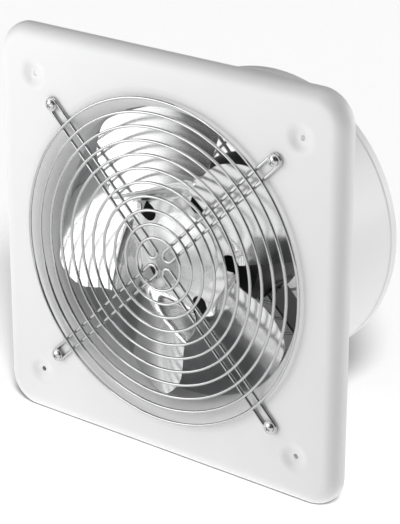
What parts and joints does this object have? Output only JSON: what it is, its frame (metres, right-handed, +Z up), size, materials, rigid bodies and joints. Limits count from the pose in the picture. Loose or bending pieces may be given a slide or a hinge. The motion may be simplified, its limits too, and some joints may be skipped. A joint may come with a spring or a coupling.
{
  "type": "axial duct fan",
  "caption": "Axial duct fan: square pressed steel plate with bellmouth, wire guards, stamped aluminium impeller on a motor held by strip arms in a round duct.",
  "frame": {"origin": "on the fan axis, in the plane where the four wall screws seat, at the bottom of the dimples", "axes": "+X right and +Z up seen from the guard side; +Y along the fan axis, the way the air flows, from the guard into the duct"},
  "size_m": [0.34, 0.1543, 0.34],
  "materials": {
    "white_powder_coat": "satin white powder coat on steel sheet",
    "chromed_wire": "bright plated steel wire",
    "zinc_steel": "bright zinc-plated steel",
    "impeller_aluminium": "rolled aluminium sheet, as rolled",
    "turned_aluminium": "turned aluminium",
    "black_paint": "semi-matt black paint",
    "lamination_steel": "stacked electrical steel",
    "copper_wire": "enamelled copper end turns",
    "ground_steel": "ground bearing steel",
    "black_plastic": "moulded black plastic"
  },
  "bodies": {
    "housing": {"front_plate": "white_powder_coat", "duct_tube": "white_powder_coat", "guard_screws": "zinc_steel", "guard_washers": "zinc_steel", "guard_nuts": "zinc_steel", "motor_can": "black_paint", "front_end_shield": "black_paint", "rear_end_shield": "black_paint", "stator_core": "lamination_steel", "stator_windings": "copper_wire", "motor_arm_screws": "zinc_steel", "terminal_box": "black_plastic", "terminal_box_lid": "black_plastic", "terminal_box_screws": "zinc_steel", "cable_gland": "black_plastic", "guard_ring_01": "chromed_wire", "guard_ring_02": "chromed_wire", "guard_ring_03": "chromed_wire", "guard_ring_04": "chromed_wire", "guard_ring_05": "chromed_wire", "guard_ring_06": "chromed_wire", "guard_ring_07": "chromed_wire", "guard_ring_08": "chromed_wire", "guard_ring_09": "chromed_wire", "guard_ring_10": "chromed_wire", "guard_ring_11": "chromed_wire", "guard_leg_1": "chromed_wire", "guard_leg_2": "chromed_wire", "guard_leg_3": "chromed_wire", "guard_leg_4": "chromed_wire", "rear_guard_ring_1": "chromed_wire", "rear_guard_ring_2": "chromed_wire", "rear_guard_ring_3": "chromed_wire", "rear_guard_ring_4": "chromed_wire", "rear_guard_ring_5": "chromed_wire", "rear_guard_ring_6": "chromed_wire", "rear_guard_leg_1": "chromed_wire", "rear_guard_leg_2": "chromed_wire", "rear_guard_leg_3": "chromed_wire", "rear_guard_leg_4": "chromed_wire", "motor_arm_1": "black_paint", "motor_arm_2": "black_paint", "motor_arm_3": "black_paint", "motor_arm_4": "black_paint", "front_bearing_outer_ring": "ground_steel", "front_bearing_balls": "ground_steel", "rear_bearing_outer_ring": "ground_steel", "rear_bearing_balls": "ground_steel"},
    "rotor": {"impeller": "impeller_aluminium", "hub_bush": "turned_aluminium", "grub_screw": "zinc_steel", "hub_cap": "turned_aluminium", "impeller_rivets": "turned_aluminium", "rotor_core": "lamination_steel", "motor_shaft": "ground_steel", "front_bearing_inner_ring": "ground_steel", "rear_bearing_inner_ring": "ground_steel"}
  },
  "joints": [
    {"name": "impeller_spin", "type": "hinge", "parent": "housing", "child": "rotor", "pos_m": [0, 0, 0], "axis": [0, -1, 0], "continuous": true}
  ]
}
